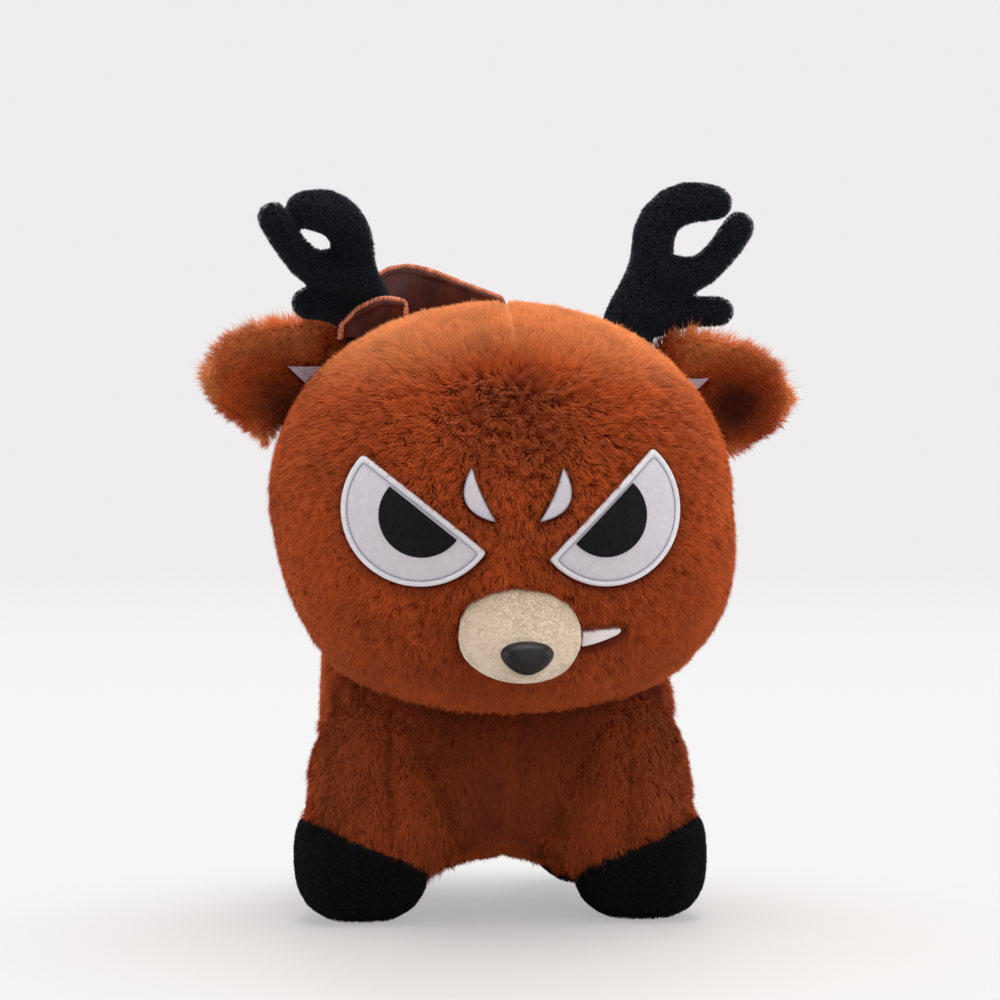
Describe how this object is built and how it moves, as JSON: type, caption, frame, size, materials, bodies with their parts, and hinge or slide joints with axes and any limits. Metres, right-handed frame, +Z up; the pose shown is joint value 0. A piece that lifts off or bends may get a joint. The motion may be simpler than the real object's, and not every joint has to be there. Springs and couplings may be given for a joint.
{
  "type": "plush deer",
  "caption": "Stuffed standing deer with a large round head, short booted legs, soft antlers, a plastic nose and cupped ears that fold at their sewn roots.",
  "frame": {"origin": "on the floor, in the middle of the area that the toy covers", "axes": "+Z up, -Y the way the face looks, +X to the viewer's right when the viewer faces the toy"},
  "size_m": [0.2304, 0.2566, 0.2801],
  "materials": {
    "brown_plush": "short clumpy pile",
    "black_plush": "short dense pile",
    "cream_plush": "very short pile",
    "white_felt": "felt",
    "white_thread": "satin stitch",
    "black_felt": "felt",
    "lilac_felt": "felt",
    "black_plastic": "smooth",
    "washer_plastic": "moulded",
    "copper_satin": "satin with a stitched rolled edge"
  },
  "bodies": {
    "stuffed_body": {"leg_front_left": "brown_plush", "leg_front_right": "brown_plush", "leg_rear_left": "brown_plush", "leg_rear_right": "brown_plush", "boot_front_left": "black_plush", "boot_front_right": "black_plush", "boot_rear_left": "black_plush", "boot_rear_right": "black_plush", "head": "brown_plush", "body": "brown_plush", "tail": "brown_plush", "muzzle": "cream_plush", "nose": "black_plastic", "nose_washer": "washer_plastic", "eye_border_left": "white_thread", "eye_border_right": "white_thread", "eye_felt_left": "white_felt", "eye_felt_right": "white_felt", "pupil_left": "black_felt", "pupil_right": "black_felt", "brow_mark_left": "white_felt", "brow_mark_right": "white_felt", "smirk": "white_felt", "antler_left": "black_plush", "antler_right": "black_plush", "crown_flap_rear": "copper_satin", "crown_flap_front": "copper_satin"},
    "left_ear": {"ear_left": "brown_plush", "ear_lining_left": "lilac_felt"},
    "right_ear": {"ear_right": "brown_plush", "ear_lining_right": "lilac_felt"}
  },
  "joints": [
    {"name": "ear_left_fold", "type": "hinge", "parent": "stuffed_body", "child": "left_ear", "pos_m": [-0.07048, -0.00068, 0.19922], "axis": [0.4695, 0, 0.8829], "range_deg": [-20, 25], "stiffness_Nm_per_rad": 0.03},
    {"name": "ear_right_fold", "type": "hinge", "parent": "stuffed_body", "child": "right_ear", "pos_m": [0.07026, -0.00068, 0.19511], "axis": [0.4695, 0, -0.8829], "range_deg": [-20, 25], "stiffness_Nm_per_rad": 0.03}
  ]
}
